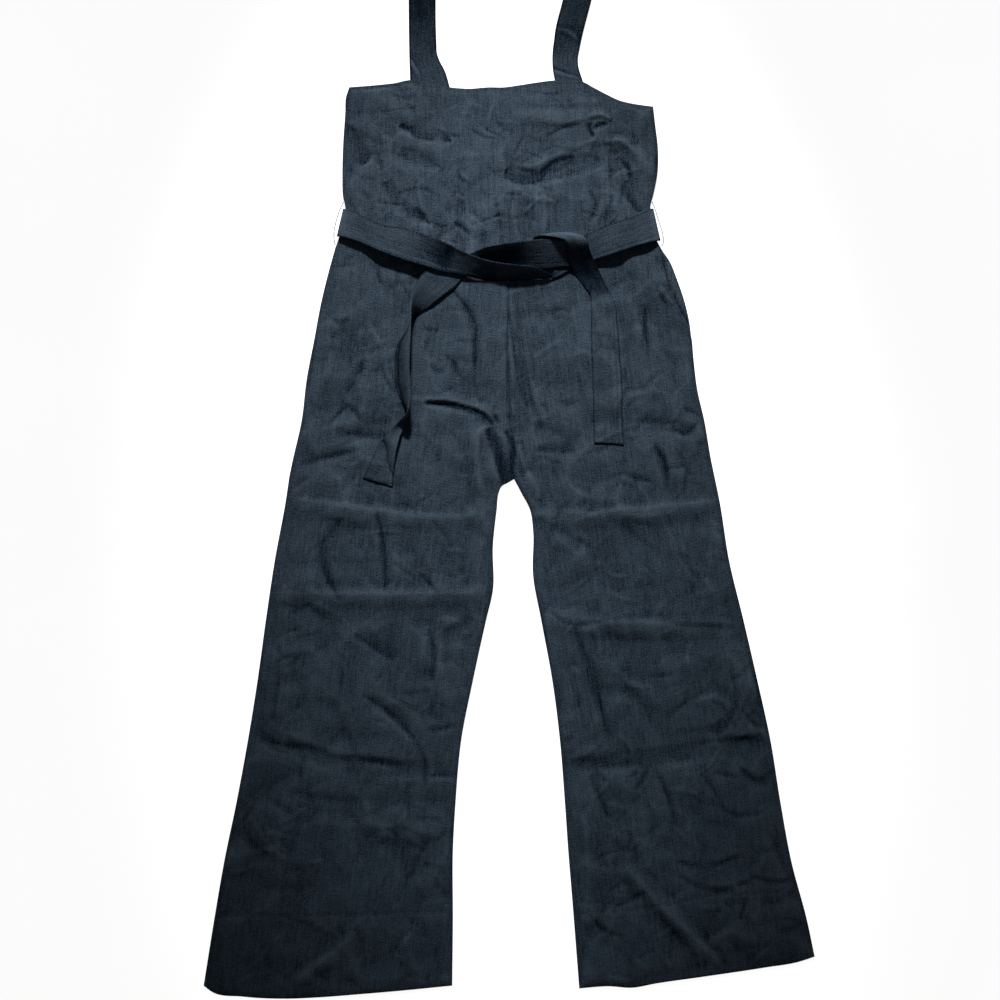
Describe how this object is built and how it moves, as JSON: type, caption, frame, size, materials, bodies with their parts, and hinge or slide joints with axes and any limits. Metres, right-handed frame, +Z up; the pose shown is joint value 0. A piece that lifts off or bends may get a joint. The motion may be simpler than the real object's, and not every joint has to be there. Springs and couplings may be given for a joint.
{
  "type": "wide-leg linen jumpsuit lying flat",
  "caption": "Sleeveless wide-leg jumpsuit of dark navy linen, lying flat on its back, with wide shoulder straps and a self-fabric tie belt half knotted at the waist.",
  "frame": {"origin": "on the surface that the garment lies on, under the middle of its box", "axes": "+X towards the wearer's left side, +Y up the body towards the straps, +Z up from the surface, out of the garment's front"},
  "size_m": [0.885, 1.5347, 0.0406],
  "materials": {
    "linen": "plain-woven garment linen with slubs, piece dyed dark navy, washed and creased",
    "belt_linen": "the same linen, doubled and topstitched",
    "pocket_linen": "the same linen, single, as a pocket bag",
    "thread": "navy polyester thread, worked as a chain"
  },
  "bodies": {
    "root": {"bodice_front": "linen", "bodice_back": "linen", "leg_front_right": "linen", "leg_front_left": "linen", "leg_back_right": "linen", "leg_back_left": "linen", "side_pocket": "pocket_linen", "belt_back": "belt_linen", "belt_from_right": "belt_linen", "belt_from_left": "belt_linen", "belt_loop_right": "thread", "belt_loop_left": "thread", "strap_right": "linen", "strap_left": "linen"}
  },
  "joints": []
}
